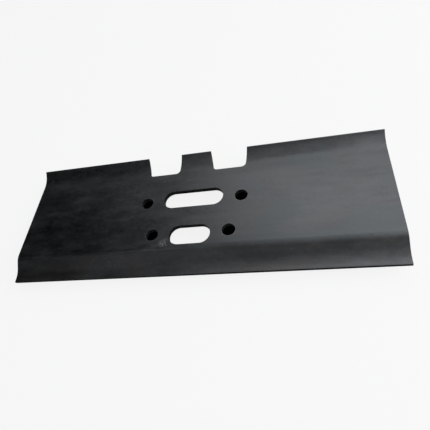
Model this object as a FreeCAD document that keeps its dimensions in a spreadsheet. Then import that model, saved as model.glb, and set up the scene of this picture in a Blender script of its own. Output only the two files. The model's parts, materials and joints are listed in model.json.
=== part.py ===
import FreeCAD, Part
import math
import os
import Sketcher

# Excavator track shoe: one length of rolled steel section with three grouser bars, sheared square
# at both ends and punched with four bolt holes, two clean-out slots and two link notches.
#
# Frame: the origin lies on the flat link seat, in the middle of the four bolt holes.
# X runs along the shoe, Y points to the raised and notched lip, Z points up, out of the link seat.
# Lengths are in millimetres and angles in degrees.

sizes = {
    # the bar as a whole
    "shoe_length": 610.0,
    "plate_thickness": 8.0,
    "shoe_height": 35.0,           # link seat to grouser tips
    # front lip, which steps down under the raised lip of the shoe ahead
    "knee_start": 51.5,            # from the bolt centre to the front end of the flat link seat
    "knee_radius": 24.0,
    "slope_angle": 29.0,
    "slope_length": 10.7,
    "hollow_radius": 40.0,
    "front_lip_flat": 3.9,
    "front_edge_thickness": 4.8,
    # back lip, which curls up over the stepped lip of the shoe behind
    "curl_start": 91.6,            # from the bolt centre to the back end of the flat link seat
    "curl_radius": 45.0,
    "curl_angle": 42.0,
    "back_edge_thickness": 6.0,
    "lip_edge_radius": 1.2,
    # grouser bars on the ground side
    "bar_spacing": 72.0,
    "bar_offset": 3.0,             # middle bar, from the bolt centre towards the raised lip
    "bar_tip_width": 8.0,
    "bar_draft": 7.5,
    "bar_root_radius": 4.0,
    "bar_tip_radius": 1.5,
    # bolt holes: two rows, the wider one towards the raised lip
    "bolt_hole_diameter": 21.0,
    "wide_row_spacing": 160.4,
    "narrow_row_spacing": 124.4,
    "row_distance": 62.0,
    # clean-out slots, one on each side of the middle bar
    "slot_width": 33.0,
    "long_slot_length": 101.0,
    "short_slot_length": 67.0,
    "slot_distance": 68.4,
    # notches in the raised lip, one on each side of a tab
    "tab_root_width": 60.6,        # between the floors' sharp corners, before rounding
    "notch_floor_width": 55.4,     # between a floor's sharp corners, before rounding
    "notch_taper": 7.0,            # how far each side leans outward, in degrees
    "notch_start": 89.3,           # from the bolt centre to the floor of a notch
    "notch_corner_radius": 8.0,
}

doc = FreeCAD.newDocument("TrackShoe")

sheet = doc.addObject("Spreadsheet::Sheet", "Sizes")
for row, (alias, value) in enumerate(sizes.items(), start=1):
    sheet.set(f"A{row}", alias.replace("_", " "))
    sheet.set(f"B{row}", str(value))
    sheet.setAlias(f"B{row}", alias)
doc.recompute()

body = doc.addObject("PartDesign::Body", "TrackShoe")
body.Label = "track_shoe"


def size(alias):
    """Value of a spreadsheet cell."""
    return float(sheet.get(alias))


def new_sketch(name, plane_role):
    """Empty sketch on one of the body's own origin planes."""
    plane = next(p for p in body.Origin.OriginFeatures if p.Role == plane_role)
    sketch = body.newObject("Sketcher::SketchObject", name)
    sketch.AttachmentSupport = [(plane, "")]
    sketch.MapMode = "FlatFace"
    return sketch


def point(first, second):
    return FreeCAD.Vector(first, second, 0)


def add_line(sketch, start, end):
    return sketch.addGeometry(Part.LineSegment(start, end), False)


def add_arc(sketch, centre, radius, start_angle, end_angle):
    """Counter-clockwise arc, its angles in degrees."""
    circle = Part.Circle(centre, FreeCAD.Vector(0, 0, 1), radius)
    arc = Part.ArcOfCircle(circle, math.radians(start_angle), math.radians(end_angle))
    return sketch.addGeometry(arc, False)


def bind(sketch, constraint, name, expression):
    """Add a dimension and tie it to the spreadsheet."""
    index = sketch.addConstraint(constraint)
    sketch.renameConstraint(index, name)
    sketch.setExpression(f"Constraints.{name}", expression)


# Ends and centre of a sketch element, and the sketch's own origin and axis, as Sketcher numbers them.
START, END, CENTRE = 1, 2, 3
ORIGIN = (-1, 1)
HORIZONTAL_AXIS = -1


def rolled_section():
    """Closed profile of the rolled bar, drawn in the Y-Z plane; returns its sketch and corners."""
    sketch = new_sketch("RolledSection", "YZ_Plane")
    thickness = size("plate_thickness")
    height = size("shoe_height")

    # top line, from the flat link seat down to the front edge
    slope = math.radians(size("slope_angle"))
    knee_centre = point(-size("knee_start"), -size("knee_radius"))
    knee_end = knee_centre + size("knee_radius") * point(-math.sin(slope), math.cos(slope))
    slope_end = knee_end - size("slope_length") * point(math.cos(slope), math.sin(slope))
    hollow_centre = slope_end + size("hollow_radius") * point(-math.sin(slope), math.cos(slope))
    hollow_end = hollow_centre - point(0, size("hollow_radius"))
    front_top = hollow_end - point(size("front_lip_flat"), 0)
    front_bottom = front_top - point(0, size("front_edge_thickness"))

    # top line, from the flat link seat up to the back edge, and the underside of that lip
    curl = math.radians(size("curl_angle"))
    outward = point(math.sin(curl), -math.cos(curl))
    curl_centre = point(size("curl_start"), size("curl_radius"))
    back_top = curl_centre + size("curl_radius") * outward
    back_bottom = back_top + size("back_edge_thickness") * outward
    under_radius = (back_bottom.y + thickness) / (1 - math.cos(curl))
    under_centre = back_bottom - under_radius * outward

    flat = add_line(sketch, point(knee_centre.x, 0), point(curl_centre.x, 0))
    knee = add_arc(sketch, knee_centre, size("knee_radius"), 90, 90 + size("slope_angle"))
    slope_line = add_line(sketch, slope_end, knee_end)
    hollow = add_arc(sketch, hollow_centre, size("hollow_radius"), -90, size("slope_angle") - 90)
    lip = add_line(sketch, front_top, hollow_end)
    front_face = add_line(sketch, front_top, front_bottom)
    upper_curl = add_arc(sketch, curl_centre, size("curl_radius"), -90, size("curl_angle") - 90)
    back_face = add_line(sketch, back_bottom, back_top)
    under_curl = add_arc(sketch, under_centre, under_radius, -90, size("curl_angle") - 90)

    # grouser bars, from the raised lip to the stepped lip, with the underside between them
    half_tip = size("bar_tip_width") / 2
    draft = math.tan(math.radians(size("bar_draft")))
    half_root = half_tip + draft * (height - thickness)
    half_root_at_lip = half_tip + draft * (height + front_bottom.y)
    roots = []
    tips = []
    bars = []
    previous = point(under_centre.x, -thickness)
    undersides = []
    for step in (1, 0, -1):
        middle = size("bar_offset") + step * size("bar_spacing")
        back_root = point(middle + half_root, -thickness)
        back_tip = point(middle + half_tip, -height)
        front_tip = point(middle - half_tip, -height)
        front_root = point(middle - half_root, -thickness)
        if step == -1:
            front_root = point(middle - half_root_at_lip, front_bottom.y)
        undersides.append(add_line(sketch, previous, back_root))
        back_flank = add_line(sketch, back_tip, back_root)
        tip = add_line(sketch, front_tip, back_tip)
        front_flank = add_line(sketch, front_tip, front_root)
        bars.append((back_flank, tip, front_flank))
        roots += [back_root, front_root]
        tips += [back_tip, front_tip]
        previous = front_root
    lip_underside = add_line(sketch, previous, front_bottom)

    # the outline's joints: smooth ones are tangent, the others are corners
    for first, first_end, second, second_end in (
        (flat, START, knee, START),
        (knee, END, slope_line, END),
        (slope_line, START, hollow, END),
        (hollow, START, lip, END),
        (flat, END, upper_curl, START),
        (undersides[0], START, under_curl, START),
    ):
        sketch.addConstraint(Sketcher.Constraint("Tangent", first, first_end, second, second_end))
    corners = [
        (lip, START, front_face, START),
        (upper_curl, END, back_face, END),
        (under_curl, END, back_face, START),
        (lip_underside, END, front_face, END),
    ]
    following = undersides[1:] + [lip_underside]
    for underside, bar, next_underside in zip(undersides, bars, following):
        back_flank, tip, front_flank = bar
        corners += [
            (underside, END, back_flank, END),
            (back_flank, START, tip, END),
            (tip, START, front_flank, START),
            (front_flank, END, next_underside, START),
        ]
    for first, first_end, second, second_end in corners:
        sketch.addConstraint(Sketcher.Constraint("Coincident", first, first_end, second, second_end))
    for level in [lip, lip_underside] + undersides + [tip for _, tip, _ in bars]:
        sketch.addConstraint(Sketcher.Constraint("Horizontal", level))
    sketch.addConstraint(Sketcher.Constraint("Vertical", front_face))
    sketch.addConstraint(Sketcher.Constraint("PointOnObject", flat, START, HORIZONTAL_AXIS))
    sketch.addConstraint(Sketcher.Constraint("PointOnObject", flat, END, HORIZONTAL_AXIS))
    sketch.addConstraint(Sketcher.Constraint("PointOnObject", upper_curl, CENTRE, back_face))
    sketch.addConstraint(Sketcher.Constraint("PointOnObject", under_curl, CENTRE, back_face))

    # dimensions of the link seat and the two lips
    bind(sketch, Sketcher.Constraint("DistanceX", flat, START, *ORIGIN, size("knee_start")),
         "knee_start", "Sizes.knee_start")
    bind(sketch, Sketcher.Constraint("DistanceX", *ORIGIN, flat, END, size("curl_start")),
         "curl_start", "Sizes.curl_start")
    bind(sketch, Sketcher.Constraint("Radius", knee, size("knee_radius")),
         "knee_radius", "Sizes.knee_radius")
    bind(sketch, Sketcher.Constraint("Angle", slope_line, slope), "slope_angle", "Sizes.slope_angle")
    bind(sketch, Sketcher.Constraint("Distance", slope_line, size("slope_length")),
         "slope_length", "Sizes.slope_length")
    bind(sketch, Sketcher.Constraint("Radius", hollow, size("hollow_radius")),
         "hollow_radius", "Sizes.hollow_radius")
    bind(sketch, Sketcher.Constraint("Distance", lip, size("front_lip_flat")),
         "front_lip_flat", "Sizes.front_lip_flat")
    bind(sketch, Sketcher.Constraint("Distance", front_face, size("front_edge_thickness")),
         "front_edge_thickness", "Sizes.front_edge_thickness")
    bind(sketch, Sketcher.Constraint("Radius", upper_curl, size("curl_radius")),
         "curl_radius", "Sizes.curl_radius")
    bind(sketch, Sketcher.Constraint("Angle", back_face, math.pi / 2 + curl),
         "curl_angle", "90 + Sizes.curl_angle")
    bind(sketch, Sketcher.Constraint("Distance", back_face, size("back_edge_thickness")),
         "back_edge_thickness", "Sizes.back_edge_thickness")

    # dimensions of the underside and the bars
    for number, (underside, bar) in enumerate(zip(undersides, bars), start=1):
        back_flank, tip, front_flank = bar
        bar_middle = f"Sizes.bar_offset + {2 - number} * Sizes.bar_spacing"
        back_end = size("bar_offset") + (2 - number) * size("bar_spacing") + half_tip
        bind(sketch, Sketcher.Constraint("DistanceY", underside, END, *ORIGIN, thickness),
             f"underside_{number}", "Sizes.plate_thickness")
        bind(sketch, Sketcher.Constraint("DistanceY", tip, START, *ORIGIN, height),
             f"tip_level_{number}", "Sizes.shoe_height")
        bind(sketch, Sketcher.Constraint("DistanceX", *ORIGIN, tip, END, back_end),
             f"tip_place_{number}", f"{bar_middle} + Sizes.bar_tip_width / 2")
        bind(sketch, Sketcher.Constraint("Distance", tip, size("bar_tip_width")),
             f"tip_width_{number}", "Sizes.bar_tip_width")
        bind(sketch, Sketcher.Constraint("Angle", back_flank, math.pi / 2 - math.atan(draft)),
             f"back_draft_{number}", "90 - Sizes.bar_draft")
        bind(sketch, Sketcher.Constraint("Angle", front_flank, math.pi / 2 + math.atan(draft)),
             f"front_draft_{number}", "90 + Sizes.bar_draft")
    lip_corners = [front_top, front_bottom, back_top, back_bottom]
    return sketch, lip_corners, roots, tips


def round_long_edges(name, base, corners, radius_alias):
    """Fillet the full-length edges of the bar that stand at the given corners of its section."""
    names = []
    for number, edge in enumerate(base.Shape.Edges, start=1):
        centre = edge.CenterOfMass
        for corner in corners:
            if math.hypot(centre.y - corner.x, centre.z - corner.y) < 0.001:
                names.append(f"Edge{number}")
    fillet = body.newObject("PartDesign::Fillet", name)
    fillet.Base = (base, names)
    fillet.Radius = size(radius_alias)
    fillet.setExpression("Radius", f"Sizes.{radius_alias}")
    doc.recompute()
    return fillet


def punch(name, sketch, base, least_volume):
    """Cut a sketch through the bar on both sides of the link seat, and prove that it cut."""
    pocket = body.newObject("PartDesign::Pocket", name)
    pocket.Profile = sketch
    pocket.Type = "ThroughAll"
    pocket.SideType = "Symmetric"
    doc.recompute()
    removed = base.Shape.Volume - pocket.Shape.Volume
    if removed < least_volume:
        raise RuntimeError(f"{name} removed only {removed:.0f} mm3")
    return pocket


def bolt_holes_sketch():
    """Two rows of two round holes, centred on the origin."""
    sketch = new_sketch("BoltHoleCentres", "XY_Plane")
    hole_radius = size("bolt_hole_diameter") / 2
    for row_name, row_side in (("wide", 1), ("narrow", -1)):
        across = size(f"{row_name}_row_spacing") / 2
        along = size("row_distance") / 2
        for hole_name, hole_side in (("left", -1), ("right", 1)):
            centre = point(hole_side * across, row_side * along)
            hole = sketch.addGeometry(Part.Circle(centre, FreeCAD.Vector(0, 0, 1), hole_radius), False)
            label = f"{row_name}_{hole_name}"
            bind(sketch, Sketcher.Constraint("Radius", hole, hole_radius),
                 f"{label}_radius", "Sizes.bolt_hole_diameter / 2")
            bind(sketch, Sketcher.Constraint("DistanceX", *ORIGIN, hole, CENTRE, hole_side * across),
                 f"{label}_x", f"{hole_side} * Sizes.{row_name}_row_spacing / 2")
            bind(sketch, Sketcher.Constraint("DistanceY", *ORIGIN, hole, CENTRE, row_side * along),
                 f"{label}_y", f"{row_side} * Sizes.row_distance / 2")
    return sketch


def slots_sketch():
    """Two round-ended slots along X, one on each side of the middle bar."""
    sketch = new_sketch("SlotOutlines", "XY_Plane")
    radius = size("slot_width") / 2
    for slot_name, side in (("long", 1), ("short", -1)):
        reach = size(f"{slot_name}_slot_length") / 2 - radius
        middle = side * size("slot_distance") / 2
        right_end = add_arc(sketch, point(reach, middle), radius, -90, 90)
        upper = add_line(sketch, point(reach, middle + radius), point(-reach, middle + radius))
        left_end = add_arc(sketch, point(-reach, middle), radius, 90, 270)
        lower = add_line(sketch, point(-reach, middle - radius), point(reach, middle - radius))
        outline = [right_end, upper, left_end, lower]
        for first, second in zip(outline, outline[1:] + outline[:1]):
            sketch.addConstraint(Sketcher.Constraint("Tangent", first, END, second, START))
        sketch.addConstraint(Sketcher.Constraint("Horizontal", upper))
        sketch.addConstraint(Sketcher.Constraint("Equal", right_end, left_end))
        bind(sketch, Sketcher.Constraint("Radius", right_end, radius),
             f"{slot_name}_radius", "Sizes.slot_width / 2")
        half_reach = f"(Sizes.{slot_name}_slot_length - Sizes.slot_width) / 2"
        bind(sketch, Sketcher.Constraint("DistanceX", *ORIGIN, right_end, CENTRE, reach),
             f"{slot_name}_right", half_reach)
        bind(sketch, Sketcher.Constraint("DistanceX", left_end, CENTRE, *ORIGIN, reach),
             f"{slot_name}_left", half_reach)
        bind(sketch, Sketcher.Constraint("DistanceY", *ORIGIN, right_end, CENTRE, middle),
             f"{slot_name}_place", f"{side} * Sizes.slot_distance / 2")
    return sketch


def notches_sketch(lip_end):
    """Two notches with rounded inner corners, which widen towards the raised lip and run out through it."""
    sketch = new_sketch("NotchOutlines", "XY_Plane")
    radius = size("notch_corner_radius")
    taper = size("notch_taper")
    lean = math.tan(math.radians(taper))
    setback = radius * math.tan(math.radians(45 - taper / 2))
    near = size("tab_root_width") / 2
    far = near + size("notch_floor_width")
    floor = size("notch_start")
    clear_of_lip = lip_end + size("plate_thickness")
    rise = setback * math.cos(math.radians(taper))
    for notch_name, side in (("left", -1), ("right", 1)):
        low, high = sorted((side * near, side * far))
        low_mouth = point(low - lean * (clear_of_lip - floor), clear_of_lip)
        high_mouth = point(high + lean * (clear_of_lip - floor), clear_of_lip)
        low_side = add_line(sketch, low_mouth, point(low - lean * rise, floor + rise))
        low_corner = add_arc(sketch, point(low + setback, floor + radius), radius, 180 + taper, 270)
        bottom = add_line(sketch, point(low + setback, floor), point(high - setback, floor))
        high_corner = add_arc(sketch, point(high - setback, floor + radius), radius, 270, 360 - taper)
        high_side = add_line(sketch, point(high + lean * rise, floor + rise), high_mouth)
        mouth = add_line(sketch, high_mouth, low_mouth)
        for first, second in (
            (low_side, low_corner),
            (low_corner, bottom),
            (bottom, high_corner),
            (high_corner, high_side),
        ):
            sketch.addConstraint(Sketcher.Constraint("Tangent", first, END, second, START))
        sketch.addConstraint(Sketcher.Constraint("Coincident", high_side, END, mouth, START))
        sketch.addConstraint(Sketcher.Constraint("Coincident", mouth, END, low_side, START))
        sketch.addConstraint(Sketcher.Constraint("Horizontal", bottom))
        sketch.addConstraint(Sketcher.Constraint("Horizontal", mouth))
        sketch.addConstraint(Sketcher.Constraint("Equal", low_corner, high_corner))

        # the sharp corners that the two sides would make with the floor carry the widths
        sharp_corners = []
        for across, leaning_side in ((low, low_side), (high, high_side)):
            sharp = sketch.addGeometry(Part.Point(point(across, floor)), True)
            sketch.addConstraint(Sketcher.Constraint("PointOnObject", sharp, START, leaning_side))
            sketch.addConstraint(Sketcher.Constraint("PointOnObject", sharp, START, bottom))
            sharp_corners.append(sharp)
        tab_corner = sharp_corners[1] if side < 0 else sharp_corners[0]
        bind(sketch, Sketcher.Constraint("DistanceX", sharp_corners[0], START, sharp_corners[1], START, high - low),
             f"{notch_name}_width", "Sizes.notch_floor_width")
        bind(sketch, Sketcher.Constraint("DistanceX", *ORIGIN, tab_corner, START, side * near),
             f"{notch_name}_place", f"{side} * Sizes.tab_root_width / 2")

        bind(sketch, Sketcher.Constraint("Radius", low_corner, radius),
             f"{notch_name}_corner", "Sizes.notch_corner_radius")
        bind(sketch, Sketcher.Constraint("Angle", low_side, math.radians(taper - 90)),
             f"{notch_name}_low_lean", "Sizes.notch_taper - 90")
        bind(sketch, Sketcher.Constraint("Angle", high_side, math.radians(90 - taper)),
             f"{notch_name}_high_lean", "90 - Sizes.notch_taper")
        bind(sketch, Sketcher.Constraint("DistanceY", *ORIGIN, bottom, START, floor),
             f"{notch_name}_floor", "Sizes.notch_start")
        bind(sketch, Sketcher.Constraint("DistanceY", *ORIGIN, mouth, START, clear_of_lip),
             f"{notch_name}_mouth", "Sizes.curl_start + (Sizes.curl_radius + Sizes.back_edge_thickness)"
             " * sin(Sizes.curl_angle * 1 deg) + Sizes.plate_thickness")
    return sketch


# the rolled bar, cut to length
section, lip_corners, bar_roots, bar_tips = rolled_section()
bar = body.newObject("PartDesign::Pad", "RolledBar")
bar.Profile = section
bar.SideType = "Symmetric"
bar.Length = size("shoe_length")
bar.setExpression("Length", "Sizes.shoe_length")
doc.recompute()

rounded = round_long_edges("BarRoots", bar, bar_roots, "bar_root_radius")
rounded = round_long_edges("BarTips", rounded, bar_tips, "bar_tip_radius")
rounded = round_long_edges("LipEdges", rounded, lip_corners, "lip_edge_radius")

# the punched openings; each must remove at least its plain area times half the plate
half_plate = size("plate_thickness") / 2
hole_area = 4 * math.pi * size("bolt_hole_diameter") ** 2 / 4
slots_area = size("slot_width") * (size("long_slot_length") + size("short_slot_length")) * 0.75
lip_end = max(corner.x for corner in lip_corners)
notches_area = 2 * (size("notch_floor_width") - size("notch_corner_radius")) * (lip_end - size("notch_start"))

punched = punch("BoltHoles", bolt_holes_sketch(), rounded, hole_area * half_plate)
punched = punch("CleanOutSlots", slots_sketch(), punched, slots_area * half_plate)
punched = punch("LinkNotches", notches_sketch(lip_end), punched, notches_area * half_plate)
body.Tip = punched
doc.recompute()

for item in doc.Objects:
    if "Invalid" in item.State or "Error" in item.State:
        raise RuntimeError(f"{item.Name} failed: {item.State}")
if body.Shape.isNull() or not body.Shape.isValid() or len(body.Shape.Solids) != 1:
    raise RuntimeError("the track shoe is not one valid solid")

os.makedirs("parts", exist_ok=True)
body.Shape.exportStep(os.path.join("parts", f"{body.Label}.step"))

box = body.Shape.BoundBox
print(f"{body.Label}: {box.XLength:.1f} x {box.YLength:.1f} x {box.ZLength:.1f} mm,",
      f"Y {box.YMin:.2f} to {box.YMax:.2f}, Z {box.ZMin:.2f} to {box.ZMax:.2f},",
      f"{body.Shape.Volume / 1000:.1f} cm3, {len(body.Shape.Faces)} faces")
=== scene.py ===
import json
import math
import bpy
import bmesh
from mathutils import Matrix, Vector


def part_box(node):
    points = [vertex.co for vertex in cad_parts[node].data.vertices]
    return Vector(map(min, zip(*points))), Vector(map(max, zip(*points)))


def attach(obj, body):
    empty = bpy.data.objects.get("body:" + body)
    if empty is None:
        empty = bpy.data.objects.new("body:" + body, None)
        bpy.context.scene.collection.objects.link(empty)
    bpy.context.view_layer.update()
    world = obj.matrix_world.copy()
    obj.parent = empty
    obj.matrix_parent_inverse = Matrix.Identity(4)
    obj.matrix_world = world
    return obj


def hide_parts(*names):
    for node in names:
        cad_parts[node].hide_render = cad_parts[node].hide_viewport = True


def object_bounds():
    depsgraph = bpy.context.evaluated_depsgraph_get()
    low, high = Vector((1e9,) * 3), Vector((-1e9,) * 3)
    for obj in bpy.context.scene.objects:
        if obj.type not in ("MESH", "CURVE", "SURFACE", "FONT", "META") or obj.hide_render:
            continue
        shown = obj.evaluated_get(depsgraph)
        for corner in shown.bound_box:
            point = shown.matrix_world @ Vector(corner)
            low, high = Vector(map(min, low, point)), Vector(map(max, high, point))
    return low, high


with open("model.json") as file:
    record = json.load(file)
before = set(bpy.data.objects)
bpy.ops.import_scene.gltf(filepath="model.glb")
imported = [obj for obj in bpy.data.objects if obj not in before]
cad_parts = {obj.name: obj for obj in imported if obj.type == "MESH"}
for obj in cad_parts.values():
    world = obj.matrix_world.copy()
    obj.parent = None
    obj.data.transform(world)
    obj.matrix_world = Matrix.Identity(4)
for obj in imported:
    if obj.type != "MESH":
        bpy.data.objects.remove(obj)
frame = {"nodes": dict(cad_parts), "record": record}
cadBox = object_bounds()
print("frame loaded:", sorted(frame["nodes"]))


# helpers for modelling by hand

def dropSelection():
    if bpy.context.mode != "OBJECT":
        bpy.ops.object.mode_set(mode="OBJECT")
    bpy.ops.object.select_all(action="DESELECT")


def activate(piece):
    dropSelection()
    piece.select_set(True)
    bpy.context.view_layer.objects.active = piece


def startEditing(piece):
    activate(piece)
    bpy.ops.object.mode_set(mode="EDIT")
    bpy.ops.mesh.select_mode(type="EDGE")
    bpy.ops.mesh.select_all(action="DESELECT")


def pickEdges(piece, wanted):
    # selects the edges whose two ends satisfy the test; the piece is in edit mode
    work = bmesh.from_edit_mesh(piece.data)
    for edge in work.edges:
        edge.select_set(wanted(edge.verts[0].co, edge.verts[1].co))
    bmesh.update_edit_mesh(piece.data)


def applyModifier(piece, kind, name, **options):
    activate(piece)
    modifier = piece.modifiers.new(name, kind)
    for option, value in options.items():
        setattr(modifier, option, value)
    bpy.ops.object.modifier_apply(modifier=name)


def listBoltHoles():
    # x, y and radius of each bolt hole, from the mounts of the CAD model
    holes = []
    for mount in frame["record"]["mounts"]:
        if mount["kind"] == "bolt_pattern":
            for side in (-1, 1):
                x = side * mount["dims"]["spacing_x_mm"] / 2000
                holes.append((x, mount["pos_m"][1], mount["dims"]["hole_r_mm"] / 1000))
    return holes


# the shoe: one rolled bar, cut to length and punched

shoeForm = {
    "plate": 0.008,            # thickness at the link seat
    "height": 0.035,           # link seat to bar tips
    "kneeStart": 0.0515,       # front end of the flat link seat
    "kneeRadius": 0.024,
    "slopeAngle": 29.0,
    "slopeLength": 0.0107,
    "hollowRadius": 0.040,
    "frontLipFlat": 0.0039,
    "frontEdge": 0.0048,
    "curlStart": 0.0916,       # back end of the flat link seat
    "curlRadius": 0.045,
    "curlAngle": 42.0,
    "backEdge": 0.006,
    "lipRound": 0.0012,
    "barSpacing": 0.072,
    "barOffset": 0.003,
    "barTip": 0.008,
    "barDraft": 7.5,
    "barRootRound": 0.004,
    "barTipRound": 0.0015,
    "slotWidth": 0.033,
    "longSlot": 0.101,
    "shortSlot": 0.067,
    "slotDistance": 0.0684,
    "tabRoot": 0.0606,         # between the sharp inner corners of the two notches
    "notchFloor": 0.0554,
    "notchTaper": 7.0,         # each side of a notch leans outward
    "notchStart": 0.0893,
    "notchRound": 0.008,
    "notchReach": 0.06,        # how far a notch cutter goes back past the edge
    "punchDepth": 0.06,        # height of every cutter
    "holeSides": 64,
    "shearedEdge": 0.0004,
    "smoothAngle": 35.0,
}


def makeRolledBar(form):
    # a strip for the link seat, then its back edge is carried once round the whole section
    low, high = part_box("track_shoe")
    length = high.x - low.x
    depth = form["kneeStart"] + form["curlStart"]
    middle = (form["curlStart"] - form["kneeStart"]) / 2
    dropSelection()
    bpy.ops.mesh.primitive_plane_add(size=1, location=(0, middle, 0))
    bar = bpy.context.active_object
    bar.name = "trackShoe"
    bar.scale = (length, depth, 1)
    bpy.ops.object.transform_apply(location=True, rotation=False, scale=True)
    startEditing(bar)
    pickEdges(bar, lambda a, b: min(a.y, b.y) > form["curlStart"] - 1e-5)
    pen = {"y": form["curlStart"], "z": 0.0, "heading": 0.0}

    def straightTo(y, z):
        step = (0, y - pen["y"], z - pen["z"])
        bpy.ops.mesh.extrude_region_move(TRANSFORM_OT_translate={"value": step})
        pen.update(y=y, z=z, heading=math.atan2(step[2], step[1]))

    def straightOn(distance, turn=0.0):
        heading = pen["heading"] + math.radians(turn)
        straightTo(pen["y"] + distance * math.cos(heading), pen["z"] + distance * math.sin(heading))

    def arcOn(radius, turn, steps):
        # a positive turn bends to the left of the way the pen goes
        side = 1 if turn > 0 else -1
        centreY = pen["y"] - side * radius * math.sin(pen["heading"])
        centreZ = pen["z"] + side * radius * math.cos(pen["heading"])
        angle = math.radians(turn)
        bpy.ops.mesh.spin(steps=steps, angle=angle, center=(0, centreY, centreZ), axis=(-1, 0, 0))
        offsetY = pen["y"] - centreY
        offsetZ = pen["z"] - centreZ
        pen["y"] = centreY + offsetY * math.cos(angle) - offsetZ * math.sin(angle)
        pen["z"] = centreZ + offsetY * math.sin(angle) + offsetZ * math.cos(angle)
        pen["heading"] += angle

    # raised lip and its underside
    arcOn(form["curlRadius"], form["curlAngle"], 24)
    lipCorners = [(pen["y"], pen["z"])]
    straightOn(form["backEdge"], turn=-90)
    lipCorners.append((pen["y"], pen["z"]))
    underRadius = (pen["z"] + form["plate"]) / (1 - math.cos(math.radians(form["curlAngle"])))
    pen["heading"] -= math.pi / 2
    arcOn(underRadius, -form["curlAngle"], 24)

    # grouser bars, from the raised lip to the stepped one
    draft = math.tan(math.radians(form["barDraft"]))
    halfTip = form["barTip"] / 2
    slope = math.radians(form["slopeAngle"])
    lipDrop = ((form["kneeRadius"] + form["hollowRadius"]) * (1 - math.cos(slope))
               + form["slopeLength"] * math.sin(slope))
    lipUnderside = -lipDrop - form["frontEdge"]
    rootCorners = []
    tipCorners = []
    for step in (1, 0, -1):
        barMiddle = form["barOffset"] + step * form["barSpacing"]
        halfRoot = halfTip + draft * (form["height"] - form["plate"])
        straightTo(barMiddle + halfRoot, -form["plate"])
        rootCorners.append((pen["y"], pen["z"]))
        straightTo(barMiddle + halfTip, -form["height"])
        straightTo(barMiddle - halfTip, -form["height"])
        tipCorners += [(barMiddle + halfTip, -form["height"]), (barMiddle - halfTip, -form["height"])]
        if step == -1:
            straightTo(barMiddle - halfTip - draft * (form["height"] + lipUnderside), lipUnderside)
        else:
            straightTo(barMiddle - halfRoot, -form["plate"])
        rootCorners.append((pen["y"], pen["z"]))

    # stepped lip, back up to the link seat
    reach = ((form["kneeRadius"] + form["hollowRadius"]) * math.sin(slope)
             + form["slopeLength"] * math.cos(slope) + form["frontLipFlat"])
    frontY = -form["kneeStart"] - reach
    straightTo(frontY, lipUnderside)
    straightTo(frontY, -lipDrop)
    lipCorners += [(frontY, lipUnderside), (frontY, -lipDrop)]
    straightTo(frontY + form["frontLipFlat"], -lipDrop)
    arcOn(form["hollowRadius"], form["slopeAngle"], 18)
    straightOn(form["slopeLength"])
    arcOn(form["kneeRadius"], -form["slopeAngle"], 18)

    # close the tube and its two sheared ends
    bpy.ops.mesh.select_all(action="SELECT")
    bpy.ops.mesh.remove_doubles(threshold=1e-5)
    for side in (low.x, high.x):
        pickEdges(bar, lambda a, b: abs(a.x - side) < 1e-5 and abs(b.x - side) < 1e-5)
        bpy.ops.mesh.edge_face_add()
    bpy.ops.mesh.select_all(action="SELECT")
    bpy.ops.mesh.normals_make_consistent(inside=False)

    # the sheared ends take the second finish; so does the rolled front edge of the stepped lip, where its
    # near-black is painted shade
    for name in ("mill", "cut"):
        bar.data.materials.append(bpy.data.materials.new(name))
    bar.active_material_index = 1
    bpy.ops.mesh.select_all(action="DESELECT")
    bpy.ops.mesh.select_mode(type="FACE")
    work = bmesh.from_edit_mesh(bar.data)
    for face in work.faces:
        front = max(vert.co.y for vert in face.verts) < frontY + 1e-5
        face.select_set(abs(face.normal.x) > 0.9 or front)
    bmesh.update_edit_mesh(bar.data)
    bpy.ops.object.material_slot_assign()
    bpy.ops.mesh.select_mode(type="EDGE")

    # the rolls leave every corner of the section round
    flare = math.tan(math.radians(90 - form["barDraft"]) / 2)
    for corners, offset, segments in (
        (rootCorners, form["barRootRound"] * flare, 6),
        (tipCorners, form["barTipRound"] * flare, 4),
        (lipCorners, form["lipRound"], 4),
    ):
        def standsAtCorner(a, b):
            if abs(a.x - b.x) < length / 2:
                return False
            return any(abs(a.y - y) + abs(a.z - z) < 1e-5 for y, z in corners)
        pickEdges(bar, standsAtCorner)
        bpy.ops.mesh.bevel(offset=offset, segments=segments, profile=0.5, affect="EDGES")
    dropSelection()
    return bar


def makeCutter(centre, span, corners, cornerCut, segments, spread=1.0):
    # a block, wider at its back where the spread says so, whose chosen upright edges are rounded
    dropSelection()
    bpy.ops.mesh.primitive_cube_add(size=1, location=centre)
    cutter = bpy.context.active_object
    cutter.scale = span
    bpy.ops.object.transform_apply(location=True, rotation=False, scale=True)
    startEditing(cutter)
    pickEdges(cutter, lambda a, b: min(a.y, b.y) > centre[1])
    bpy.ops.transform.resize(value=(spread, 1, 1), center_override=centre)
    bpy.ops.mesh.select_all(action="DESELECT")
    pickEdges(cutter, lambda a, b: abs(a.z - b.z) > span[2] / 2 and corners(a))
    bpy.ops.mesh.bevel(offset=cornerCut, segments=segments, profile=0.5, affect="EDGES")
    bpy.ops.mesh.select_all(action="SELECT")
    bpy.ops.mesh.remove_doubles(threshold=1e-6)
    dropSelection()
    return cutter


def makeHoleCutter(place, radius, depth, sides):
    dropSelection()
    bpy.ops.mesh.primitive_cylinder_add(vertices=sides, radius=radius, depth=depth, location=place)
    cutter = bpy.context.active_object
    bpy.ops.object.transform_apply(location=True, rotation=False, scale=False)
    return cutter


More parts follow.
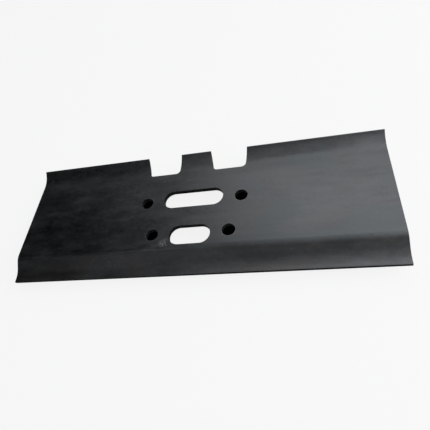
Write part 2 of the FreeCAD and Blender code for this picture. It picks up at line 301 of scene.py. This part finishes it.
def punchOpenings(bar, form):
    depth = form["punchDepth"]
    cutters = [makeHoleCutter((x, y, 0), radius, depth, form["holeSides"]) for x, y, radius in listBoltHoles()]
    for side, name in ((1, "longSlot"), (-1, "shortSlot")):
        centre = (0, side * form["slotDistance"] / 2, 0)
        cutters.append(makeCutter(centre, (form[name], form["slotWidth"], depth), lambda a: True,
                                  form["slotWidth"] / 2, form["holeSides"] // 4))
    reach = form["notchReach"]
    taper = math.radians(form["notchTaper"])
    spread = 1 + 2 * reach * math.tan(taper) / form["notchFloor"]
    cornerCut = form["notchRound"] * math.tan(math.pi / 4 - taper / 2)
    for side in (-1, 1):
        centre = (side * (form["tabRoot"] + form["notchFloor"]) / 2, form["notchStart"] + reach / 2, 0)
        cutters.append(makeCutter(centre, (form["notchFloor"], reach, depth),
                                  lambda a: a.y < form["notchStart"] + reach / 2, cornerCut, 10, spread))
    dropSelection()
    for cutter in cutters:
        cutter.select_set(True)
    bpy.context.view_layer.objects.active = cutters[0]
    bpy.ops.object.join()
    punches = bpy.context.active_object
    for material in bar.data.materials:
        punches.data.materials.append(material)
    for face in punches.data.polygons:
        face.material_index = 1
    applyModifier(bar, "BOOLEAN", "punch", operation="DIFFERENCE", solver="EXACT", object=punches)
    bpy.data.objects.remove(punches)


bar = makeRolledBar(shoeForm)
print("rolled section modelled:", len(bar.data.polygons), "faces")
punchOpenings(bar, shoeForm)
print("openings punched:", len(bar.data.polygons), "faces")
applyModifier(bar, "BEVEL", "softEdges", width=shoeForm["shearedEdge"], segments=2, limit_method="ANGLE",
              angle_limit=math.radians(30), use_clamp_overlap=True, harden_normals=False)
activate(bar)
bpy.ops.object.shade_smooth_by_angle(angle=math.radians(shoeForm["smoothAngle"]))
applyModifier(bar, "WEIGHTED_NORMAL", "flatFaces", keep_sharp=True, weight=100, mode="FACE_AREA")
print("edges softened:", len(bar.data.polygons), "faces")


# steel finish

def addNode(tree, kind, place, **settings):
    node = tree.nodes.new(kind)
    node.location = place
    for name, value in settings.items():
        setattr(node, name, value)
    return node


def addNoise(tree, coords, stretch, scale, detail, place):
    # a noise whose grain can be drawn out along the shoe
    scaled = addNode(tree, "ShaderNodeMapping", (place[0] - 200, place[1]))
    scaled.inputs["Scale"].default_value = stretch
    noise = addNode(tree, "ShaderNodeTexNoise", place)
    noise.inputs["Scale"].default_value = scale
    noise.inputs["Detail"].default_value = detail
    tree.links.new(coords, scaled.inputs["Vector"])
    tree.links.new(scaled.outputs["Vector"], noise.inputs["Vector"])
    return noise.outputs["Fac"]


def addRange(tree, value, start, end, low, high, place, smooth=False):
    ramp = addNode(tree, "ShaderNodeMapRange", place)
    ramp.interpolation_type = "SMOOTHSTEP" if smooth else "LINEAR"
    for name, number in (("From Min", start), ("From Max", end), ("To Min", low), ("To Max", high)):
        ramp.inputs[name].default_value = number
    tree.links.new(value, ramp.inputs["Value"])
    return ramp.outputs["Result"]


def addMath(tree, operation, first, second, place):
    node = addNode(tree, "ShaderNodeMath", place, operation=operation)
    for socket, value in zip(node.inputs, (first, second)):
        if isinstance(value, (int, float)):
            socket.default_value = value
        elif value is not None:
            tree.links.new(value, socket)
    return node.outputs["Value"]


def addMix(tree, amount, first, second, place):
    node = addNode(tree, "ShaderNodeMix", place, data_type="RGBA")
    for name, value in ((0, amount), (6, first), (7, second)):
        if isinstance(value, (int, float, tuple)):
            node.inputs[name].default_value = value
        else:
            tree.links.new(value, node.inputs[name])
    return node.outputs[2]


def addSum(tree, terms, place):
    # weighted sum of several noises
    total = None
    for index, (value, weight) in enumerate(terms):
        row = place[1] - 160 * index
        share = addMath(tree, "MULTIPLY", value, weight, (place[0], row))
        total = share if total is None else addMath(tree, "ADD", total, share, (place[0] + 180, row))
    return total


def addBand(tree, value, middle, halfWidth, place):
    # 1 on the middle of a band, falling to 0 at its edges
    away = addMath(tree, "SUBTRACT", value, middle, place)
    away = addMath(tree, "ABSOLUTE", away, None, (place[0] + 150, place[1]))
    return addRange(tree, away, 0.0, halfWidth, 1.0, 0.0, (place[0] + 300, place[1]), smooth=True)


def addSpot(tree, coords, centre, inner, outer, place):
    # 1 within the inner radius of a place, 0 beyond the outer one
    away = addNode(tree, "ShaderNodeVectorMath", place, operation="DISTANCE")
    tree.links.new(coords, away.inputs[0])
    away.inputs[1].default_value = centre
    return addRange(tree, away.outputs["Value"], inner, outer, 1.0, 0.0, (place[0] + 150, place[1]), smooth=True)


millFinish = {
    "dark": (0.101, 0.104, 0.109, 1),
    "light": (0.158, 0.162, 0.169, 1),
    "warmHaze": (0.142, 0.130, 0.124, 1),
    "coolHaze": (0.120, 0.134, 0.141, 1),
    # pale colour of the flecks, also used for the painted highlights on the knee and the bolt-hole rims
    "fleckAndHighlight": (0.42, 0.43, 0.43, 1),
    "kneeShade": (0.060, 0.064, 0.066, 1),
    "roughLow": 0.27,
    "roughHigh": 0.40,
    "leftPart": (0.10, -0.08),         # along the shoe: nothing to here, all from here
    "frontLip": (-0.050, -0.062),      # across the shoe, from the link seat to the slope
    "backLip": (0.094, 0.104),
    "coolBand": (-0.050, 0.020),       # bands across the shoe: middle and half width
    "kneeBand": (-0.0535, 0.010),
    "kneeShadeBand": (-0.0600, 0.0060),
    "kneeHighlightLine": (-0.0575, 0.0022),
    "dullBand": (0.087, 0.022),
    "seatBand": (0.005, 0.065),
    "spatter": (-0.041, -0.047, 0.0),
    "pit": (-0.288, 0.104, 0.001),
}


def makeMillSteel(look):
    steel = bpy.data.materials.new("millSteel")
    steel.use_nodes = True
    tree = steel.node_tree
    shader = tree.nodes["Principled BSDF"]
    shader.inputs["Metallic"].default_value = 1.0
    coords = addNode(tree, "ShaderNodeTexCoord", (-2300, 0)).outputs["Object"]
    place = addNode(tree, "ShaderNodeSeparateXYZ", (-2100, -1200))
    tree.links.new(coords, place.inputs[0])
    along, across = place.outputs["X"], place.outputs["Y"]

    # rolled tone: big clouds, hand-sized blotches, mottled scale, faint rolling streaks, fine grain
    clouds = addNoise(tree, coords, (1, 1.6, 1), 8, 3, (-1800, 700))
    blotches = addNoise(tree, coords, (0.6, 1.9, 1), 34, 4, (-1800, 450))
    mottle = addNoise(tree, coords, (1, 1.4, 1), 120, 4, (-1800, 200))
    streaks = addNoise(tree, coords, (6, 110, 90), 1, 4, (-1800, -50))
    grain = addNoise(tree, coords, (1, 1, 1), 700, 3, (-1800, -300))
    tone = addSum(tree, ((clouds, 0.34), (blotches, 0.30), (mottle, 0.16), (streaks, 0.08), (grain, 0.12)),
                  (-1500, 700))
    colour = addMix(tree, addRange(tree, tone, 0.39, 0.61, 0.0, 1.0, (-1100, 400)),
                    look["dark"], look["light"], (-900, 400))

    # the slope and hollow of the stepped lip are coarser, browned at the left, and cooler along the knee
    frontLip = addRange(tree, across, *look["frontLip"], 0.0, 1.0, (-1500, -1000), smooth=True)
    hazeNoise = addNoise(tree, coords, (1, 2, 1), 14, 4, (-1800, -600))
    warm = addMath(tree, "MULTIPLY", addRange(tree, hazeNoise, 0.46, 0.66, 0.0, 0.6, (-1500, -600)),
                   addRange(tree, frontLip, 0.0, 1.0, 0.25, 1.0, (-1300, -900)), (-1100, -600))
    colour = addMix(tree, warm, colour, look["warmHaze"], (-700, 400))
    coolNoise = addNoise(tree, coords, (1, 1.6, 1), 11, 3, (-1800, -850))
    cool = addSum(tree, ((addRange(tree, coolNoise, 0.50, 0.66, 0.0, 1.0, (-1500, -800)), 0.45),
                         (addBand(tree, across, *look["coolBand"], (-1500, -1300)), 0.35)), (-1200, -1100))
    colour = addMix(tree, cool, colour, look["coolHaze"], (-550, 400))

    # painted shade along the knee: broken dark scale at the left, laid on as ragged shade at the top of the slope's
    # dark band, and a smooth dark band at the right
    kneeBand = addBand(tree, across, *look["kneeBand"], (-1500, -1600))
    kneeShadeBlotches = addRange(tree, addNoise(tree, coords, (1, 2.5, 1), 45, 5, (-1800, -1600)), 0.47, 0.60, 0.0, 0.55,
                         (-1500, -1800))
    leftPart = addRange(tree, along, *look["leftPart"], 0.0, 1.0, (-1500, -1950), smooth=True)
    kneeShadeBlotches = addMath(tree, "MULTIPLY", addMath(tree, "MULTIPLY", kneeShadeBlotches, leftPart, (-1300, -1800)), kneeBand,
                        (-1000, -1600))
    # painted shade: a smooth dark band along the knee at the right
    kneeShadeBand = addMath(tree, "MULTIPLY", addBand(tree, across, *look["kneeShadeBand"], (-1500, -1700)),
                       addRange(tree, leftPart, 0.0, 1.0, 0.28, 0.0, (-1300, -1900)), (-1150, -1700))
    colour = addMix(tree, addMath(tree, "ADD", kneeShadeBlotches, kneeShadeBand, (-850, -1600)),
                    colour, look["kneeShade"], (-400, 400))

    # painted highlight: a thin pale line along the knee at the left, just past the bend, broken by the streaks
    kneeHighlightLine = addMath(tree, "MULTIPLY", addBand(tree, across, *look["kneeHighlightLine"], (-1500, -2000)),
                       addRange(tree, streaks, 0.42, 0.60, 0.0, 0.22, (-1500, -2100)), (-1000, -1800))
    kneeHighlightLine = addMath(tree, "MULTIPLY", kneeHighlightLine, leftPart, (-850, -1800))
    colour = addMix(tree, kneeHighlightLine, colour, look["fleckAndHighlight"], (-330, 400))

    # pale flecks: scattered in drifts and thick in one dried spatter; then a painted highlight, a broken pale ring
    # round each bolt hole
    fleckNoise = addNoise(tree, coords, (1, 1, 1), 480, 2, (-1800, -2000))
    drift = addRange(tree, addNoise(tree, coords, (1, 1.5, 1), 22, 3, (-1800, -2250)), 0.46, 0.66, 0.0, 0.14,
                     (-1500, -2250))
    drift = addMath(tree, "MULTIPLY", drift, addRange(tree, leftPart, 0.0, 1.0, 0.1, 1.0, (-1300, -2400)),
                    (-1300, -2250))
    drift = addMath(tree, "MULTIPLY", drift, addRange(tree, frontLip, 0.0, 1.0, 1.0, 0.55, (-1300, -2150)),
                    (-1150, -2250))
    spatter = addMath(tree, "MULTIPLY", addSpot(tree, coords, look["spatter"], 0.002, 0.013, (-1700, -2500)), 0.26,
                      (-1300, -2500))
    pit = addMath(tree, "MULTIPLY", addSpot(tree, coords, look["pit"], 0.001, 0.006, (-1700, -2700)), 0.30,
                  (-1300, -2700))
    density = addMath(tree, "ADD", drift, addMath(tree, "ADD", spatter, pit, (-1100, -2500)), (-950, -2300))
    flecks = addRange(tree, addMath(tree, "ADD", fleckNoise, density, (-800, -2100)), 0.67, 0.82, 0.0, 1.0,
                      (-600, -2100))
    marks = addMath(tree, "ADD", spatter, pit, (-800, -2400))
    flecks = addMath(tree, "MULTIPLY", flecks, addRange(tree, marks, 0.0, 0.15, 0.38, 0.8, (-600, -2400)),
                     (-450, -2100))
    colour = addMix(tree, flecks, colour, look["fleckAndHighlight"], (-250, 400))
    # painted highlight on the rolled-over rim of each bolt hole, broken up by the mottle
    rimHighlights = None
    for x, y, radius in listBoltHoles():
        rimHighlight = addSpot(tree, coords, (x, y, 0.0), radius + 0.0002, radius + 0.0013, (-1700, -3000))
        rimHighlights = rimHighlight if rimHighlights is None else addMath(tree, "MAXIMUM", rimHighlights, rimHighlight, (-1300, -3000))
    rimHighlightBreakup = addRange(tree, mottle, 0.42, 0.62, 0.0, 0.35, (-1300, -3200))
    rimHighlights = addMath(tree, "MULTIPLY", rimHighlights, rimHighlightBreakup, (-1100, -3000))
    colour = addMix(tree, rimHighlights, colour, look["fleckAndHighlight"], (-100, 400))
    tree.links.new(colour, shader.inputs["Base Color"])

    rough = addSum(tree, ((clouds, 0.35), (blotches, 0.40), (mottle, 0.25)), (-1000, 0))
    rough = addRange(tree, rough, 0.38, 0.62, look["roughLow"], look["roughHigh"], (-600, 0))
    backLip = addRange(tree, across, *look["backLip"], 0.0, 1.0, (-900, -400), smooth=True)
    dullBand = addBand(tree, across, *look["dullBand"], (-900, -200))
    seatBand = addBand(tree, across, *look["seatBand"], (-900, -300))
    rough = addSum(tree, ((rough, 1.0), (frontLip, 0.03), (backLip, -0.03), (dullBand, 0.07), (seatBand, -0.02)),
                   (-500, 0))
    tree.links.new(rough, shader.inputs["Roughness"])

    coarse = addRange(tree, frontLip, 0.0, 1.0, 0.35, 1.2, (-1000, -400))
    relief = addMath(tree, "MULTIPLY", addSum(tree, ((grain, 0.7), (fleckNoise, 0.25)), (-1000, -600)), coarse,
                     (-600, -500))
    relief = addSum(tree, ((relief, 1.0), (mottle, 0.8), (blotches, 0.5), (pit, -6.0)), (-500, -500))
    bump = addNode(tree, "ShaderNodeBump", (-150, -500))
    bump.inputs["Strength"].default_value = 0.40
    bump.inputs["Distance"].default_value = 0.00025
    tree.links.new(relief, bump.inputs["Height"])
    tree.links.new(bump.outputs["Normal"], shader.inputs["Normal"])
    return steel


cutFinishAndShade = {
    # near-black of the punched walls and the rolled edge: dark scale, deepened as painted shade
    "dark": (0.0025, 0.0025, 0.003, 1),
    "light": (0.010, 0.010, 0.011, 1),
    "endDark": (0.020, 0.020, 0.021, 1),
    "endLight": (0.060, 0.059, 0.058, 1),
    "burnishDepth": -0.0028,       # the punch rubs this much of the wall smooth before the steel tears
    "shearedFrom": (0.300, 0.304), # along the shoe, where the finish of the sheared ends sets in
}


def makeCutSteelAndShade(look):
    # punched walls, rolled edge and sheared ends: dull black scale over upright tool strokes, made near-black as
    # painted shade on the walls and the rolled edge
    steel = bpy.data.materials.new("cutSteelAndShade")
    steel.use_nodes = True
    tree = steel.node_tree
    shader = tree.nodes["Principled BSDF"]
    shader.inputs["Specular IOR Level"].default_value = 0.04
    coords = addNode(tree, "ShaderNodeTexCoord", (-1500, 0)).outputs["Object"]
    place = addNode(tree, "ShaderNodeSeparateXYZ", (-1300, -500))
    tree.links.new(coords, place.inputs[0])
    strokes = addNoise(tree, coords, (160, 160, 9), 4, 3, (-1100, 200))
    scale = addNoise(tree, coords, (1, 1, 1), 260, 4, (-1100, -100))
    colour = addMix(tree, strokes, look["dark"], look["light"], (-600, 300))
    sheared = addRange(tree, addMath(tree, "ABSOLUTE", place.outputs["X"], None, (-1100, -500)),
                       *look["shearedFrom"], 0.0, 1.0, (-900, -500))
    worn = addSum(tree, ((scale, 0.45), (strokes, 0.55)), (-1000, 0))
    ends = addMix(tree, addRange(tree, worn, 0.36, 0.64, 0.0, 1.0, (-800, 100)),
                  look["endDark"], look["endLight"], (-600, 100))
    tree.links.new(addMix(tree, sheared, colour, ends, (-300, 200)), shader.inputs["Base Color"])
    ragged = addMath(tree, "ADD", place.outputs["Z"], addMath(tree, "MULTIPLY", strokes, 0.0016, (-900, -700)),
                     (-750, -700))
    burnish = look["burnishDepth"]
    torn = addRange(tree, ragged, burnish + 0.0010, burnish + 0.0004, 0.0, 1.0, (-600, -700))
    rough = addMath(tree, "ADD", addRange(tree, scale, 0.3, 0.7, 0.42, 0.6, (-500, -100)),
                    addMath(tree, "MULTIPLY", torn, 0.22, (-450, -600)), (-300, -100))
    tree.links.new(rough, shader.inputs["Roughness"])
    bump = addNode(tree, "ShaderNodeBump", (-300, -300))
    bump.inputs["Distance"].default_value = 0.0003
    tree.links.new(addRange(tree, torn, 0.0, 1.0, 0.25, 0.8, (-450, -450)), bump.inputs["Strength"])
    tree.links.new(addMath(tree, "ADD", strokes, scale, (-500, -300)), bump.inputs["Height"])
    tree.links.new(bump.outputs["Normal"], shader.inputs["Normal"])
    return steel


bar.data.materials[0] = makeMillSteel(millFinish)
bar.data.materials[1] = makeCutSteelAndShade(cutFinishAndShade)
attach(bar, "root")
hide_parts("track_shoe")


# floor, light and camera

studio = {
    "floorSize": 14.0,
    "floorMiddle": 0.01,
    "patchSize": (0.62, 0.25),
    "paperColour": 0.975,      # what the eye sees of the paper: nearly white
    "litShare": 0.12,          # part of the paper that takes light and shadow
    "wallRadius": 6.0,
    "wallHeight": 1.6,
    "paintedShadeReach": 0.15,      # how far the painted shade under the shoe looks for cover
    "paintedShadeClear": 0.05,      # less open sky than this is darker than plain paper
    "shadowSpotBlack": 0.0105,        # painted shadow spots under the bolt holes: black to here,
    "shadowSpotClear": 0.018,        # gone beyond here
    "shadowSpotDrop": -0.031,        # how far below the link seat the sight line meets them
    "colour": (0.975, 1.0, 1.025, 1),
    "fill": 0.25,              # sky all round, none at the far left
    "fillFade": (-0.60, -0.15),
    "bright": 0.41,            # more of it towards the right
    "brightFade": (-0.5, 0.3),
    "frontDim": 0.42,          # what is left of it at the front
    "frontFade": (-0.9, 0.0),
    "cardLight": 0.20,
    "cardSize": (1.43, 0.77),
    "cardPlace": (0.185, -0.515, 0.38),
    "lamps": {                 # place, width, height, power
        "backSoftbox": ((0.5, 1.25, 1.6), 2.2, 1.2, 5.0),
        "sideSoftbox": ((1.75, -0.1, 1.05), 1.3, 1.3, 24),
    },
}
view = {
    "place": (0.17757, -0.31143, 0.46201),
    "turn": (33.579, 14.267, 3.755),
    "lens": 30.74,
    "sensor": 36,
}


def mixShaders(tree, amount, first, second, place):
    mix = addNode(tree, "ShaderNodeMixShader", place)
    for name, value in ((0, amount), (1, first), (2, second)):
        if isinstance(value, float):
            mix.inputs[name].default_value = value
        else:
            tree.links.new(value, mix.inputs[name])
    return mix.outputs["Shader"]


def makePaper(look, name, litShare, withPaintedShade=False):
    # white to the eye and in reflections; a share of it is ordinary matt paper that keeps the shadow
    paper = bpy.data.materials.new(name)
    paper.use_nodes = True
    tree = paper.node_tree
    tree.nodes.clear()
    output = addNode(tree, "ShaderNodeOutputMaterial", (1100, 0))
    matt = addNode(tree, "ShaderNodeBsdfDiffuse", (100, -200))
    matt.inputs["Color"].default_value = (0.9, 0.9, 0.9, 1)
    white = addNode(tree, "ShaderNodeEmission", (100, -60))
    white.inputs["Color"].default_value = (look["paperColour"],) * 3 + (1,)
    seen = mixShaders(tree, litShare, white.outputs["Emission"], matt.outputs["BSDF"], (400, 0))
    rays = addNode(tree, "ShaderNodeLightPath", (100, 400)).outputs
    anyRay = addMath(tree, "MAXIMUM", rays["Is Camera Ray"], rays["Is Glossy Ray"], (300, 400))
    anyRay = addMath(tree, "MAXIMUM", anyRay, rays["Is Transmission Ray"], (480, 400))
    paperSide = mixShaders(tree, anyRay, matt.outputs["BSDF"], seen, (660, 0))
    # from underneath the floor is open, so that the ground side of the shoe can be looked at
    clear = addNode(tree, "ShaderNodeBsdfTransparent", (660, -200))
    below = addNode(tree, "ShaderNodeNewGeometry", (660, 200)).outputs["Backfacing"]
    tree.links.new(mixShaders(tree, below, paperSide, clear.outputs["BSDF"], (880, 0)), output.inputs["Surface"])
    # painted contact shade: the white that the eye sees dims where little open sky reaches the paper
    if withPaintedShade:
        cover = addNode(tree, "ShaderNodeAmbientOcclusion", (-500, 0), samples=64)
        cover.inputs["Distance"].default_value = look["paintedShadeReach"]
        openSky = addRange(tree, cover.outputs["AO"], 0.0, look["paintedShadeClear"], 0.0, 1.0, (-300, 0), smooth=True)
        unseen = addMath(tree, "SUBTRACT", 1.0, rays["Is Camera Ray"], (-300, 200))
        tree.links.new(addMath(tree, "MAXIMUM", openSky, unseen, (-100, 0)), white.inputs["Strength"])
    return paper


def makePaintedShadowSpot(look):
    # painted shadow: matt black in the middle, clear at the rim
    spot = bpy.data.materials.new("paintedShadowSpot")
    spot.use_nodes = True
    tree = spot.node_tree
    tree.nodes.clear()
    output = addNode(tree, "ShaderNodeOutputMaterial", (600, 0))
    clear = addNode(tree, "ShaderNodeBsdfTransparent", (100, 100))
    black = addNode(tree, "ShaderNodeBsdfDiffuse", (100, -100))
    black.inputs["Color"].default_value = (0.004, 0.004, 0.004, 1)
    coords = addNode(tree, "ShaderNodeTexCoord", (-500, 0)).outputs["Object"]
    dark = addSpot(tree, coords, (0, 0, 0), look["shadowSpotBlack"], look["shadowSpotClear"], (-300, 0))
    tree.links.new(mixShaders(tree, dark, clear.outputs["BSDF"], black.outputs["BSDF"], (400, 0)),
                   output.inputs["Surface"])
    return spot


def makeFloor(look):
    # only the patch under the shoe gets painted contact shade, found by looking for cover, which is slow
    bottom = cadBox[0][2]
    for name, size, drop, withPaintedShade in (("floor", (look["floorSize"],) * 2, 0.0002, False),
                                          ("floorUnderShoe", look["patchSize"], 0.0001, True)):
        dropSelection()
        bpy.ops.mesh.primitive_plane_add(size=1, location=(0, look["floorMiddle"], bottom - drop))
        floor = bpy.context.active_object
        floor.name = name
        floor.scale = (size[0], size[1], 1)
        bpy.ops.object.transform_apply(location=True, rotation=False, scale=True)
        floor.data.materials.append(makePaper(look, name + "Paper", look["litShare"], withPaintedShade))
    dropSelection()
    bpy.ops.mesh.primitive_cylinder_add(vertices=96, radius=look["wallRadius"], depth=look["wallHeight"],
                                        end_fill_type="NOTHING",
                                        location=(0, 0, bottom + look["wallHeight"] / 2))
    wall = bpy.context.active_object
    wall.name = "backdrop"
    bpy.ops.object.mode_set(mode="EDIT")
    bpy.ops.mesh.select_all(action="SELECT")
    bpy.ops.mesh.flip_normals()
    dropSelection()
    wall.data.materials.append(makePaper(look, "wallPaper", 0.0))

    # a soft painted shadow lies on the floor where the eye looks down through each bolt hole, standing in for the
    # shade under the shoe
    black = makePaintedShadowSpot(look)
    for x, y, _ in listBoltHoles():
        hole = Vector((x, y, 0))
        sight = hole - Vector(view["place"])
        spot = hole + sight * (look["shadowSpotDrop"] / sight.z)
        dropSelection()
        bpy.ops.mesh.primitive_circle_add(vertices=48, radius=look["shadowSpotClear"], fill_type="NGON",
                                          location=(spot.x, spot.y, bottom - 0.00005))
        disc = bpy.context.active_object
        disc.name = "paintedShadowSpot"
        disc.data.materials.append(black)


def makeCard(look):
    # a grey card above the front of the shoe, seen only in the steel's reflections
    dropSelection()
    bpy.ops.mesh.primitive_plane_add(size=1, location=look["cardPlace"])
    card = bpy.context.active_object
    card.name = "greyCard"
    card.scale = (look["cardSize"][0], look["cardSize"][1], 1)
    bpy.ops.object.transform_apply(location=True, rotation=False, scale=True)
    material = bpy.data.materials.new("greyCard")
    material.use_nodes = True
    tree = material.node_tree
    tree.nodes.clear()
    output = addNode(tree, "ShaderNodeOutputMaterial", (600, 0))
    clear = addNode(tree, "ShaderNodeBsdfTransparent", (100, 100))
    grey = addNode(tree, "ShaderNodeEmission", (100, -100))
    grey.inputs["Color"].default_value = look["colour"]
    grey.inputs["Strength"].default_value = look["cardLight"]
    glossy = addNode(tree, "ShaderNodeLightPath", (100, 400)).outputs["Is Glossy Ray"]
    tree.links.new(mixShaders(tree, glossy, clear.outputs["BSDF"], grey.outputs["Emission"], (400, 0)),
                   output.inputs["Surface"])
    card.data.materials.append(material)


def makeSky(look):
    # a soft studio, brightest at the right and dimmer towards the front; white paper where the eye sees it
    world = bpy.data.worlds.new("softStudio")
    bpy.context.scene.world = world
    world.use_nodes = True
    tree = world.node_tree
    light = tree.nodes["Background"]
    light.inputs["Color"].default_value = look["colour"]
    direction = addNode(tree, "ShaderNodeTexCoord", (-1100, 0))
    split = addNode(tree, "ShaderNodeSeparateXYZ", (-900, 0))
    tree.links.new(direction.outputs["Generated"], split.inputs[0])
    fill = addRange(tree, split.outputs["X"], *look["fillFade"], 0.0, look["fill"], (-600, 300), smooth=True)
    bright = addRange(tree, split.outputs["X"], *look["brightFade"], 0.0, look["bright"], (-600, 0), smooth=True)
    front = addRange(tree, split.outputs["Y"], *look["frontFade"], look["frontDim"], 1.0, (-600, -300), smooth=True)
    strength = addMath(tree, "MULTIPLY", addMath(tree, "ADD", fill, bright, (-400, 0)), front, (-200, 0))
    tree.links.new(strength, light.inputs["Strength"])
    white = addNode(tree, "ShaderNodeBackground", (0, -200))
    white.inputs["Color"].default_value = (look["paperColour"],) * 3 + (1,)
    rays = addNode(tree, "ShaderNodeLightPath", (-200, 400)).outputs
    eye = addMath(tree, "MAXIMUM", rays["Is Camera Ray"], rays["Is Transmission Ray"], (0, 400))
    tree.links.new(mixShaders(tree, eye, light.outputs["Background"], white.outputs["Background"], (300, 0)),
                   tree.nodes["World Output"].inputs["Surface"])


def makeLamp(name, place, width, height, power):
    data = bpy.data.lights.new(name, "AREA")
    data.shape = "RECTANGLE"
    data.size = width
    data.size_y = height
    data.energy = power
    lamp = bpy.data.objects.new(name, data)
    bpy.context.scene.collection.objects.link(lamp)
    lamp.location = place
    lamp.rotation_euler = (-Vector(place)).to_track_quat("-Z", "Y").to_euler()


def makeCamera(look):
    data = bpy.data.cameras.new("camera")
    data.lens = look["lens"]
    data.sensor_width = look["sensor"]
    data.clip_start = 0.01
    camera = bpy.data.objects.new("camera", data)
    bpy.context.scene.collection.objects.link(camera)
    camera.location = look["place"]
    camera.rotation_euler = [math.radians(angle) for angle in look["turn"]]
    bpy.context.scene.camera = camera


makeFloor(studio)
makeCard(studio)
makeSky(studio)
for lampName, lamp in studio["lamps"].items():
    makeLamp(lampName, *lamp)
makeCamera(view)
print("studio set up")

bpy.context.scene.view_settings.view_transform = "Standard"
